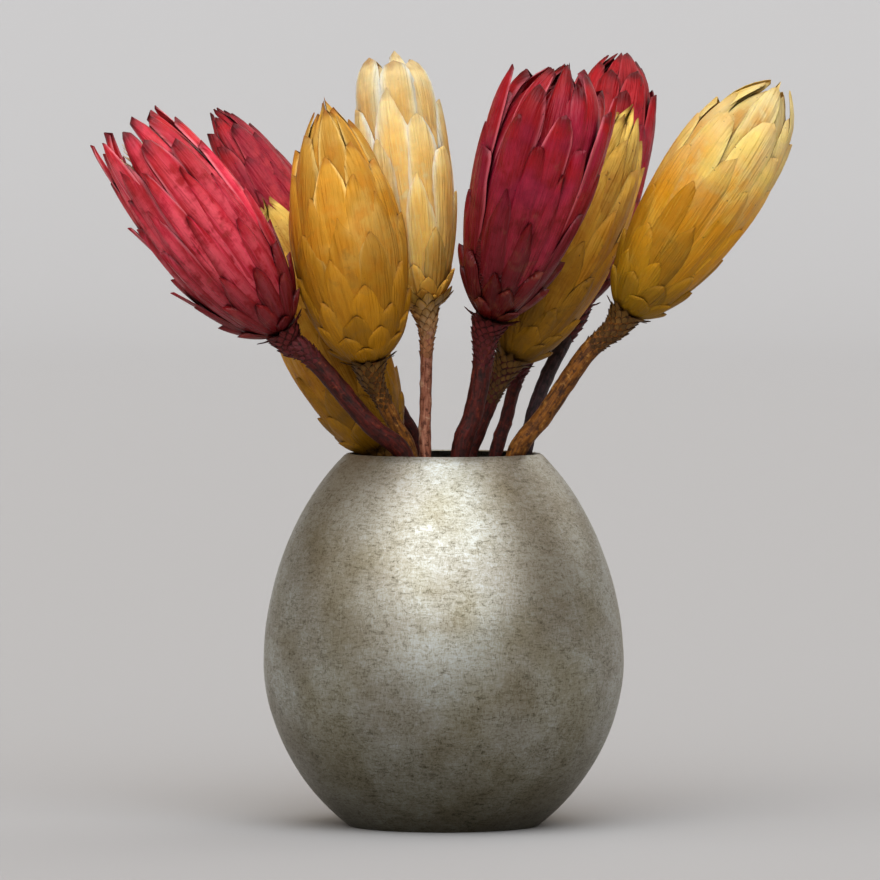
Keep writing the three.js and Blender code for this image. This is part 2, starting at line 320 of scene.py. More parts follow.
@dataclass(frozen=True)
class DriedBract:
    """Papery dried bract, dyed by the plant: dull, faintly ribbed along, paler at its rim, brown at its tip.

    Slot names the material slot of what wears it, and for a scale that of its stem too; it is not used. Each
    colour
    is laid over the one before it: body and high are the lower and upper head, patch is a shade in wide
    patches, heart runs along the middle of a bract, streak is on its ribs, rim on its edge, low at the foot
    of the head, dry where it dried out, tip on worn tips, root where a bract starts and in deep gaps, and
    speck in small spots. Each share says how much of a colour shows.
    """

    name: str
    slot: str
    root: str
    low: str
    body: str
    high: str
    heart: str
    rim: str
    tip: str
    streak: str
    speck: str
    heart_share: float
    rim_share: float
    streak_share: float
    speck_share: float
    patch: str = "000000"
    patch_share: float = 0.0
    dry: str = "6a4632"
    dry_share: float = 0.0
    body_from: float = 0.45
    rim_from: float = 0.74
    heart_even: float = 0.0
    low_share: float = 0.85
    tip_from: float = 0.99
    tip_share: float = 0.85
    # how much painted shade the root colour lays in the gaps
    gap_shade_share: float = 0.92
    glow: float = 0.0
    shine: float = 0.15
    roughness: float = 0.52

    def material(self) -> Material:
        """Builds the node material.

        Returns:
            The material.
        """
        material = bpy.data.materials.new(self.name)
        add = empty_nodes(material)
        place = add("Attribute", attribute_name="place").outputs["Vector"]
        along, across, rise = add("SeparateXYZ", {0: place}).outputs
        grain = add("Attribute", attribute_name="grain").outputs["Vector"]
        tone = add("Attribute", attribute_name="tone").outputs["Fac"]
        head_place = add("TexCoord").outputs["Object"]
        # ribs about 0.8 mm apart that run the length of the bract
        rib_place = add("Mapping", {0: grain, "Scale": (1.25, 0.07, 1.0)})
        ribs = add("TexNoise", {"Vector": rib_place, "Scale": 1.0, "Detail": 3.0})
        # folds 2.4 mm apart that the bract dried into
        fold_place = add("Mapping", {0: grain, "Scale": (0.42, 0.035, 1.0)})
        folds = add("TexNoise", {"Vector": fold_place, "Scale": 1.0, "Detail": 2.0, "Distortion": 0.4})
        # clouds of colour 5 to 9 mm wide, and brown specks about 1 mm wide
        clouds = add("TexNoise", {"Vector": grain, "Scale": 0.16, "Detail": 3.0, "Roughness": 0.6})
        specks = add("TexNoise", {"Vector": grain, "Scale": 0.62, "Detail": 1.0})
        # patches of another shade 25 mm wide over the whole head
        wide = add("TexNoise", {"Vector": head_place, "Scale": 42.0, "Detail": 2.0, "Roughness": 0.55})
        # dried-out places 9 mm wide, more usual low on the head
        blotches = {"Vector": head_place, "Scale": 110.0, "Detail": 4.0, "Roughness": 0.65, "Distortion": 0.6}
        drier = add("Math", {0: rise, 1: -0.22, 2: add("TexNoise", blotches)}, operation="MULTIPLY_ADD")
        # the colour of the foot of the head ends raggedly, and so does the worn tip, faint below the crown
        lower = add("Math", {0: clouds, 1: -0.5, 2: rise}, operation="MULTIPLY_ADD")
        outer = add("Math", {0: clouds, 1: 0.16, 2: along}, operation="MULTIPLY_ADD")
        crown = {"From Min": 0.55, "From Max": 0.9, "To Min": 0.3 * self.tip_share, "To Max": self.tip_share}
        worn = add("MapRange", {"Value": rise, **crown})
        # painted shade: the root colour darkens the narrow gaps, up to 3.6 mm deep, where ambient occlusion
        # finds them
        gaps = add("AmbientOcclusion", {"Distance": 3.6 * MM}, samples=6, only_local=True).outputs["AO"]

        body = add("ValToRGB", {0: rise})
        set_ramp(body, [(self.body_from, self.body), (0.97, self.high)])
        # painted light: the patch and rim colours fade out low on the head and show up it, where the light
        # falls
        sunlit = (rise, 0.25, 0.7)
        ragged = (clouds, 0.34 - self.heart_even, 0.58 - self.heart_even)
        layers = [
            (self.patch, self.patch_share, (wide, 0.46, 0.62), sunlit),
            # painted highlight on the reds, whose pale heart is light on the crest; for other tints it is
            # their own colour
            (self.heart, self.heart_share, (across, 0.85, 0.15), (along, 0.98, 0.72), ragged),
            (self.streak, self.streak_share, (ribs, 0.52, 0.72)),
            # the rim is partly the bract's paler margin and partly a painted highlight where its edge catches
            # light
            (self.rim, self.rim_share, (across, self.rim_from, 0.98), sunlit),
            (self.low, self.low_share, (lower, self.body_from - 0.2, -0.2)),
            (self.dry, self.dry_share, (drier, 0.46, 0.6)),
            (self.tip, worn, (outer, self.tip_from, self.tip_from + 0.09)),
            # painted shade: the root colour darkens each bract's root, which lies under the bracts over it
            (self.root, 0.85, (along, 0.24, 0.05)),
            (self.speck, min(1.0, self.speck_share), (specks, 0.8 - 0.12 * self.speck_share, 0.86)),
            # painted shade in the narrow gaps
            (self.root, self.gap_shade_share, (gaps, 0.9, 0.36)),
        ]
        colour = lay_colours(add, body, layers)
        uneven = {"From Min": 0.3, "From Max": 0.7, "To Min": 0.86, "To Max": 1.14}
        shade = add("Math", {0: tone, 1: add("MapRange", {"Value": clouds, **uneven})}, operation="MULTIPLY")
        gloss = {"Value": ribs, "To Min": self.roughness - 0.1, "To Max": self.roughness + 0.14}
        relief = add("Math", {0: folds, 1: 2.2, 2: ribs}, operation="MULTIPLY_ADD")
        shader = add(
            "BsdfPrincipled",
            {
                "Base Color": add("VectorMath", {0: colour, "Scale": shade}, operation="SCALE"),
                "Roughness": add("MapRange", gloss),
                "Normal": add("Bump", {"Height": relief, "Strength": 0.8, "Distance": 0.8 * MM}),
                "Specular IOR Level": self.shine,
                # light that passes into the thin papery bract
                "Subsurface Weight": self.glow,
                "Subsurface Radius": (1.0, 0.6, 0.25),
                "Subsurface Scale": 3.0 * MM,
            },
        )
        add("OutputMaterial", {"Surface": shader})
        return material


@dataclass(frozen=True)
class WoodyBark:
    """Dry bark of a cut stem: dull, streaked along, with dark pits and paler worn knobs."""

    name: str
    bark: str
    streak: str
    pit: str
    worn: str

    def material(self) -> Material:
        """Builds the node material.

        Returns:
            The material.
        """
        material = bpy.data.materials.new(self.name)
        add = empty_nodes(material)
        grain = add("Attribute", attribute_name="grain").outputs["Vector"]
        place = add("Attribute", attribute_name="place").outputs["Vector"]
        knob = add("SeparateXYZ", {0: place}).outputs["X"]
        # fibres 1 mm wide and 6 mm long, and worn and pitted places 3 mm wide
        fibre_place = add("Mapping", {0: grain, "Scale": (1.0, 0.14, 1.0)})
        fibres = add("TexNoise", {"Vector": fibre_place, "Scale": 1.1, "Detail": 4.0})
        clouds = add("TexNoise", {"Vector": grain, "Scale": 0.33, "Detail": 4.0, "Roughness": 0.65})
        base = add("ValToRGB", {0: fibres})
        set_ramp(base, [(0.26, self.pit), (0.46, self.bark), (0.74, self.streak)])
        layers = [
            (self.pit, 0.8, (clouds, 0.5, 0.36)),
            (self.worn, 0.7, (clouds, 0.56, 0.74)),
            (self.worn, 0.75, (knob, 0.2, 1.0)),
        ]
        relief = add("Math", {0: fibres, 1: clouds}, operation="ADD")
        shader = add(
            "BsdfPrincipled",
            {
                "Base Color": lay_colours(add, base, layers),
                "Roughness": 0.62,
                "Normal": add("Bump", {"Height": relief, "Strength": 0.8, "Distance": 0.8 * MM}),
                "Specular IOR Level": 0.2,
            },
        )
        add("OutputMaterial", {"Surface": shader})
        return material


@dataclass(frozen=True)
class WorkedNickel:
    """Cast aluminium with a raw nickel skin, scratched by hand in short crossed strokes and dark with age."""

    name: str = "worked_nickel"
    dark: str = "646052"
    plain: str = "a8a699"
    bright: str = "bfc4c4"
    # painted shade, multiplied in towards the foot
    foot: str = "8c8470"
    olive: str = "c6b78c"
    rosy: str = "d2c6b8"

    def material(self) -> Material:
        """Builds the node material.

        Returns:
            The material.
        """
        material = bpy.data.materials.new(self.name)
        add = empty_nodes(material)
        place = add("TexCoord").outputs["Object"]
        # hairlines 0.7 mm wide and 3 to 5 mm long, upright and level, bent, drawn coarse enough to show
        strokes = []
        for scale, bend in (((900.0, 900.0, 260.0), 2.2), ((240.0, 240.0, 950.0), 1.2)):
            drawn = add("Mapping", {0: place, "Scale": scale})
            stroke = {"Vector": drawn, "Scale": 1.0, "Detail": 2.5, "Roughness": 0.6, "Distortion": bend}
            strokes.append(add("TexNoise", stroke))
        crossed = add("Math", {0: strokes[0], 1: strokes[1]}, operation="ADD")
        # cloudy patches 12 mm wide with spots 2 mm wide in them
        patches = add("TexNoise", {"Vector": place, "Scale": 85.0, "Detail": 6.0, "Roughness": 0.74})
        value = add("Math", {0: patches, 1: 0.2, 2: 0.04}, operation="MULTIPLY_ADD")
        value = add("Math", {0: crossed, 1: 0.32, 2: value}, operation="MULTIPLY_ADD")
        # crooked scratches 0.6 mm wide that wander and close on themselves, some bright and some dark
        for scale, shift, depth in (((330.0, 330.0, 130.0), 0.0, 0.06), ((150.0, 150.0, 360.0), 2.3, -0.07)):
            moved = add("Mapping", {0: place, "Location": (shift, shift, shift), "Scale": scale})
            wander = {"Vector": moved, "Scale": 1.0, "Detail": 1.5, "Roughness": 0.5, "Distortion": 1.0}
            gap = add("Math", {0: add("TexNoise", wander), 1: 0.5}, operation="SUBTRACT")
            gap = add("Math", {0: gap}, operation="ABSOLUTE")
            line = {"Value": gap, "From Min": 0.045, "From Max": 0.0, "To Min": 0.0, "To Max": depth}
            value = add("Math", {0: value, 1: add("MapRange", line)}, operation="ADD")
        skin = add("ValToRGB", {0: value})
        set_ramp(skin, [(0.3, self.dark), (0.45, self.plain), (0.62, self.bright)])
        # a ragged painted shade towards the foot, and olive and rosy stains 30 mm wide in the old skin
        height = add("SeparateXYZ", {0: place}).outputs["Z"]
        ragged = add("Math", {0: patches, 1: 0.03, 2: height}, operation="MULTIPLY_ADD")
        # the painted shade at the foot stands in for the dark reflection low on the vase
        layers = [(self.foot, 1.0, (ragged, 0.1, 0.0))]
        for code, shift in ((self.olive, 0.0), (self.rosy, 3.7)):
            moved = add("Mapping", {0: place, "Location": (shift, shift, 0.0)})
            stain = add("TexNoise", {"Vector": moved, "Scale": 32.0, "Detail": 3.0, "Roughness": 0.5})
            layers.append((code, 0.5, (stain, 0.4, 0.7)))
        gloss = {"Value": value, "From Min": 0.3, "From Max": 0.6, "To Min": 0.5, "To Max": 0.4}
        shader = add(
            "BsdfPrincipled",
            {
                "Base Color": lay_colours(add, skin, layers, "MULTIPLY"),
                "Metallic": 0.95,
                "Roughness": add("MapRange", gloss),
                "Normal": add("Bump", {"Height": value, "Strength": 0.2, "Distance": 0.2 * MM}),
            },
        )
        add("OutputMaterial", {"Surface": shader})
        return material


@dataclass(frozen=True)
class DryFloret:
    """Dry, thread-like floret from the inside of a head: silky, pale at its end."""

    name: str = "dry_floret"
    thread: str = "7a4a30"
    end: str = "e6cfa0"

    def material(self) -> Material:
        """Builds the node material.

        Returns:
            The material.
        """
        material = bpy.data.materials.new(self.name)
        add = empty_nodes(material)
        place = add("Attribute", attribute_name="place").outputs["Vector"]
        colour = add("ValToRGB", {0: add("SeparateXYZ", {0: place})})
        set_ramp(colour, [(0.1, self.thread), (0.9, self.end)])
        shader = add("BsdfPrincipled", {"Base Color": colour, "Roughness": 0.6, "Sheen Weight": 0.4})
        add("OutputMaterial", {"Surface": shader})
        return material


@dataclass(frozen=True)
class MattePaper:
    """Seamless pale paper of the studio floor: even and matte."""

    name: str = "matte_paper"
    pale: str = "a8a8a8"

    def material(self) -> Material:
        """Builds the node material.

        Returns:
            The material.
        """
        material = bpy.data.materials.new(self.name)
        add = empty_nodes(material)
        surface = {"Base Color": linear(self.pale), "Roughness": 0.9, "Specular IOR Level": 0.15}
        add("OutputMaterial", {"Surface": add("BsdfPrincipled", surface)})
        return material


class Bark(Enum):
    """The barks of the cut stems."""

    MAROON = WoodyBark("maroon_bark", bark="380c05", streak="54130a", pit="1a0502", worn="74301a")
    BROWN = WoodyBark("brown_bark", bark="62380c", streak="885214", pit="281304", worn="b07e3c")
    PINK = WoodyBark("pink_bark", bark="9a5c44", streak="bf8266", pit="4a2216", worn="e0b892")
    BLACK = WoodyBark("black_bark", bark="281a1c", streak="40262a", pit="0e090a", worn="503632")


class Tint(Enum):
    """The colourings of the dried bracts. Their pale rims and the reds' pale hearts are partly painted
    highlights.
    """

    CRIMSON = DriedBract(
        "crimson_bract", "red_bracts", root="260204", low="480a08", body="a20e1c", high="d22028",
        heart="f8606e", rim="ff929c", tip="34090e", streak="e8405c", speck="3c0c10", heart_share=0.62,
        rim_share=0.65, streak_share=0.65, speck_share=0.5, patch="da2a46", patch_share=0.6, dry="8c3a2c",
        dry_share=0.3, body_from=0.58, shine=0.26, roughness=0.36,
    )
    MAGENTA = DriedBract(
        "magenta_bract", "red_bracts", root="1c0103", low="4e0c08", body="700812", high="b40c16",
        heart="a0263c", rim="e26c78", tip="3e070c", streak="a02038", speck="2c080a", heart_share=0.45,
        rim_share=0.75, streak_share=0.5, speck_share=0.8, patch="98204a", patch_share=0.38, dry="7e4a32",
        dry_share=0.35, body_from=0.5, shine=0.22, roughness=0.34,
    )
    WINE = DriedBract(
        "wine_bract", "dark_red_bracts", root="1c0203", low="480a08", body="840a12", high="a8121c",
        heart="c03c40", rim="d6585e", tip="28070a", streak="6c101a", speck="3c1c16", heart_share=0.5,
        rim_share=0.4, streak_share=0.4, speck_share=1.0, patch="902440", patch_share=0.4, dry="5e2c1c",
        dry_share=0.7, shine=0.16, roughness=0.4,
    )
    GOLD = DriedBract(
        "gold_bract", "gold_bracts", root="341a02", low="926202", body="bc8018", high="d8a03c",
        heart="b46c0e", rim="f2c872", tip="8c4e18", streak="d8982e", speck="6e4016", heart_share=0.6,
        rim_share=0.85, streak_share=0.3, speck_share=0.5, patch="dcb058", patch_share=0.7, dry="8a6220",
        dry_share=0.45, body_from=0.5,
    )
    OCHRE = DriedBract(
        "ochre_bract", "gold_bracts", root="2e1a06", low="765206", body="c4861a", high="f4d068",
        heart="a45e08", rim="e6b850", tip="8a5624", streak="d89e34", speck="4c2c10", heart_share=0.6,
        rim_share=0.75, streak_share=0.3, speck_share=1.0, patch="dcaa3c", patch_share=0.6, dry="6e4e1a",
        dry_share=0.5, body_from=0.55,
    )
    CREAM = DriedBract(
        "cream_bract", "cream_bracts", root="6a3a10", low="e09a34", body="ffca66", high="ffe0a2",
        heart="f2b050", rim="fff6d8", tip="7c4c22", streak="ffe6a4", speck="8a5a24", heart_share=0.75,
        rim_share=1.0, streak_share=0.35, speck_share=0.3, patch="fff0bc", patch_share=0.6, dry="c08434",
        dry_share=0.2, body_from=0.24, rim_from=0.5, heart_even=0.14, tip_from=1.0, tip_share=0.7,
        gap_shade_share=0.6, glow=0.3,
    )
    LEMON = DriedBract(
        "lemon_bract", "cream_bracts", root="4a2c06", low="7e5c04", body="cc8812", high="ffe6a4",
        heart="cc8414", rim="f8de88", tip="a87634", streak="eec04a", speck="603a10", heart_share=0.7,
        rim_share=0.5, streak_share=0.3, speck_share=0.8, patch="f2cc60", patch_share=0.6, dry="8a661e",
        dry_share=0.4, body_from=0.5, tip_share=0.5, gap_shade_share=0.65, glow=0.2,
    )


class NeckTint(Enum):
    """The colourings of the small scales under a head."""

    MAROON = DriedBract(
        "maroon_scale", "maroon_bark", root="140606", low="4c1a1c", body="561e20", high="621f20",
        heart="6c2a2a", rim="240c0c", tip="1e0a0a", streak="7a3a34", speck="200a08", heart_share=0.5,
        rim_share=0.7, streak_share=0.3, speck_share=0.4,
    )
    BROWN = DriedBract(
        "brown_scale", "brown_bark", root="160c06", low="4a3016", body="54381a", high="6a4a20",
        heart="7c5828", rim="26160a", tip="22140a", streak="7c5a2c", speck="241408", heart_share=0.6,
        rim_share=0.75, streak_share=0.3, speck_share=0.5,
    )
    TAN = DriedBract(
        "tan_scale", "pink_bark", root="2e120c", low="a86c48", body="bd8a58", high="c9993e",
        heart="dcb684", rim="4c1c12", tip="4a1e12", streak="d8b488", speck="5a3418", heart_share=0.7,
        rim_share=0.8, streak_share=0.3, speck_share=0.3,
    )


class BractForm(Enum):
    """The forms of a flat bract.

    Each gives its grid faces across and along, its half width at the root, how the width swells and tapers
    from there, as shares of the largest, and two powers that round off the tip.
    """

    OVAL = (6, 10, 0.74, 1.0, 0.75, 4.6, 0.8)
    STRAP = (6, 12, 0.8, 0.7, 0.6, 6, 0.75)
    LANCE = (6, 12, 0.85, 0.6, 0.6, 4.5, 0.85)
    BLUNT = (6, 12, 0.8, 0.7, 0.5, 9, 0.5)
    SCALE = (4, 5, 0.75, 0.9, 0.9, 2.4, 0.7)

    def width(self, s: float) -> float:
        """The half width along the bract.

        Args:
            s: 0 at the root and 1 at the tip.

        Returns:
            The half width, as a share of the largest.
        """
        _, _, root, swell, taper, start, end = self.value
        return (root + swell * s - taper * s * s) * (1 - s**start) ** end

    def edge(self, x: float, s: float) -> float:
        """How near to the edge a point is.

        Args:
            x: how far from the middle it is, as a share of the largest half width.
            s: how far along the bract it is, as a share of its length.

        Returns:
            0 at the middle and 1 at the edge.
        """
        width = self.width(s)
        return min(1.0, abs(x) / width) if width > 1e-3 else 0.0


@dataclass
class BractTemplate:
    """One bract modelled flat: x runs across from -1 to 1, y along from 0 to 1 and z outwards from 0 to 1."""

    form: BractForm
    piece: Piece = field(init=False)

    def __post_init__(self) -> None:
        """Models the template."""
        across, along = self.form.value[:2]
        deselect()
        bpy.ops.mesh.primitive_grid_add(x_subdivisions=across, y_subdivisions=along, size=2.0)
        self.piece = bpy.context.object
        self.piece.name = f"template_{self.form.name.lower()}"
        bpy.ops.object.mode_set(mode="EDIT")
        bpy.ops.mesh.select_all(action="SELECT")
        bpy.ops.transform.resize(value=(1, 0.5, 1), center_override=(0, 0, 0))
        bpy.ops.transform.translate(value=(0, 0.5, 0))
        for row in range(along):
            y = row / along
            select_points(self.piece, lambda co, y=y: abs(co.y - y) < 1e-4)
            bpy.ops.transform.resize(value=(self.form.width(self.share(y)), 1, 1), center_override=(0, y, 0))
        select_points(self.piece, lambda co: co.y > 1 - 1e-4)
        bpy.ops.mesh.merge(type="CENTER")
        bpy.ops.object.mode_set(mode="OBJECT")
        wall = self.piece.modifiers.new("Wall", "SOLIDIFY")
        wall.thickness = 1.0
        wall.offset = 1.0
        bpy.ops.object.modifier_apply(modifier=wall.name)

    @staticmethod
    def share(y: float) -> float:
        """The share of the bract's length at a row of the template: the rows crowd towards the tip."""
        return 1 - (1 - y) ** 1.5


@dataclass
class Bract:
    """One bract of a head: its form, where it lies and how it bends, in millimetres, shares and radians.

    Start and end are shares of the head's length. Lift is how far the tip stands off, and lean how far it
    leans in. Rise is where the bract's colour counts as up the head, sunk is how deep its root lies, cup
    how far its edges curve out, twist how far its tip goes round, curl and press how its tip bends out and
    in, wave how uneven it is, closing how far it follows the closing of the crown, and yaw how far it turns
    about its length.
    """

    form: BractForm
    angle: float
    start: float
    end: float
    half_width: float
    lift: float
    lean: float
    rise: float
    tone: float
    sunk: float
    cup: float
    twist: float
    curl: float = 0.0
    press: float = 0.0
    wave: float = 0.0
    closing: float = 1.0
    yaw: float = 0.0
    thickness: float = 0.55


@dataclass(frozen=True)
class Tall:
    """A bract that stands out of a head, set by itself: see Bract. One with a closing has a blunt tip."""

    angle: float
    start: float
    end: float
    half_width: float
    lift: float
    yaw: float = 0.0
    closing: float = 0.0


@dataclass(frozen=True)
class Detail:
    """How fine a head is: the number, width and lengths of its bracts, and where their tips lie.

    The first low_share of the bracts have their tips from lowest_tip to low_top, evenly spread. The tips of
    the rest gather towards the top where crowd is under 1. Lengths and heights are shares of the head's
    length. Convex is how far the edges curve in, press how far the tips bend in and incurve how much more
    they do up the head, in millimetres. Loose is how uneven it all is, closed how far the crown closes,
    closing_end where the lid of inner bracts ends, and from blunt_from on, up the spiral, the tips are
    blunt. Low_width is how wide the lowest bracts are, as a share of the rest. See Bract for sunk and lean.
    """

    form: BractForm
    count: int
    half_width: float
    shortest: float
    longest: float
    low_share: float
    low_top: float
    crowd: float
    convex: float = 0.8
    sunk: float = 3.0
    lean: float = 0.85
    press: float = 0.9
    incurve: float = 1.5
    loose: float = 1.0
    closed: float = 0.35
    blunt_from: float = 2.0
    low_width: float = 0.74
    closing_end: float = 0.95
    lowest_tip: float = 0.07

    def tip(self, rise: float) -> float:
        """The height of a bract's tip.

        Args:
            rise: how far up the spiral the bract is, from 0 to 1.

        Returns:
            The height, as a share of the head's length.
        """
        if rise < self.low_share:
            return mix(self.lowest_tip, self.low_top, rise / self.low_share)
        return mix(self.low_top, 1.0, ((rise - self.low_share) / (1 - self.low_share)) ** self.crowd)


@dataclass(frozen=True)
class Neck:
    """The scaly cone under a head: above is how far it climbs up the head, proud how far it stands off."""

    tint: NeckTint
    count: int = 96
    half_width: float = 2.2
    length: float = 4.4
    above: float = 2.6
    proud: float = -0.6


@dataclass
class Flower:
    """One flower of the bouquet, in millimetres: its stem, the form of its head and its finish.

    Foot is where the stem stands on the vase's floor, bends are points along it, collar is where the head
    starts and tip its far end. Radius is the head's largest half width, and peak is where along it that
    lies. Shoulder is near 1.4 for a pointed form and above 2 for a round one, crown is the share of the
    radius left at the tip, splay is how far the upper bracts stand off, and turn sets them round. Thick is
    the stem's radius, tall are the bracts that stand out of the head, and florets is how many threads stand
    in its crown.
    """

    name: str
    tint: Tint
    bark: Bark
    thick: float
    foot: tuple[float, float]
    bends: list[Point]
    collar: Point
    tip: Point
    radius: float
    peak: float
    shoulder: float
    crown: float
    splay: float
    turn: float
    detail: Detail
    neck: Neck
    tall: list[Tall] = field(default_factory=list)
    florets: int = 0

    COLLAR_SHARE = 0.31
    BOWL_POWER = 1.9
    STEM_BASE = 3.3
    CONE_LENGTH = 17.0

    def __post_init__(self) -> None:
        """Works out the axes of the head."""
        self.origin = Vector(self.collar)
        span = Vector(self.tip) - self.origin
        self.length = span.length
        self.along = span.normalized()
        self.across, self.back = self.axes(self.along)

    @staticmethod
    def axes(along: Vector) -> tuple[Vector, Vector]:
        """Two axes square to a direction: across, and back, which faces +Y where it can."""
        across = Vector((0, 1, 0)).cross(along).normalized()
        return across, along.cross(across).normalized()

    def outline(self, t: float) -> float:
        """The head's radius: a bowl up to the peak, and a shoulder from there on.

        Args:
            t: share of the head's length.

        Returns:
            The radius in millimetres.
        """
        rising = t < self.peak
        share = 1 - t / self.peak if rising else (t - self.peak) / (1 - self.peak)
        away = min(1.0, max(0.0, share))
        power = self.BOWL_POWER if rising else self.shoulder
        end = self.COLLAR_SHARE if rising else self.crown
        return self.radius * (end + (1 - end) * (1 - away**power) ** (1 / power))

    def point(self, angle: float, t: float, radius: float) -> Vector:
        """A point of the head, in metres.

        Args:
            angle: round the head, 0 at the front and rising to the right.
            t: share of the head's length.
            radius: distance from its axis, in millimetres.

        Returns:
            The point.
        """
        return around(self.origin + self.along * (self.length * t), (self.across, self.back), angle, radius)


@dataclass
class StemLine:
    """The centre line of a stem: a centripetal spline through its points, measured along its length."""

    flower: Flower
    steps: int = 24

    def __post_init__(self) -> None:
        """Samples the spline."""
        flower = self.flower
        x, y = flower.foot
        base = flower.STEM_BASE
        knots = [Vector((x, y, base)), Vector((x, y, base + 12))]
        knots += [Vector(bend) for bend in flower.bends]
        knots += [flower.origin - flower.along * 7, flower.origin.copy()]
        chain = [knots[0] * 2 - knots[1], *knots, knots[-1] * 2 - knots[-2]]
        self.points = [knots[0]]
        for i in range(1, len(chain) - 2):
            for step in range(1, self.steps + 1):
                self.points.append(self.between(chain[i - 1 : i + 3], step / self.steps))
        self.reach = [0.0]
        for a, b in zip(self.points, self.points[1:]):
            self.reach.append(self.reach[-1] + (b - a).length)
        self.length = self.reach[-1]

    @staticmethod
    def between(knots: list[Vector], u: float) -> Vector:
        """A point of one span of the spline.

        Args:
            knots: the knots before, at both ends of and after the span.
            u: share of the span.

        Returns:
            The point.
        """
        d0, d1, d2 = (max(1e-4, (b - a).length ** 0.5) for a, b in zip(knots, knots[1:]))
        before, start, end, after = knots
        t1 = ((start - before) / d0 - (end - before) / (d0 + d1) + (end - start) / d1) * d1
        t2 = ((end - start) / d1 - (after - start) / (d1 + d2) + (after - end) / d2) * d1
        u2, u3 = u * u, u * u * u
        place = start * (2 * u3 - 3 * u2 + 1) + t1 * (u3 - 2 * u2 + u)
        return place + end * (3 * u2 - 2 * u3) + t2 * (u3 - u2)

    def at(self, share: float) -> tuple[Vector, Vector]:
        """Where the line is at a share of its length.

        Args:
            share: 0 at the foot and 1 at the collar.

        Returns:
            The point, in millimetres, and the line's direction there.
        """
        want = min(1.0, max(0.0, share)) * self.length
        low = min(bisect_right(self.reach, want) - 1, len(self.reach) - 2)
        high = low + 1
        span = self.reach[high] - self.reach[low]
        place = self.points[low].lerp(self.points[high], (want - self.reach[low]) / span)
        before = self.points[max(0, low - 1)]
        after = self.points[min(len(self.points) - 1, high + 1)]
        return place, (after - before).normalized()


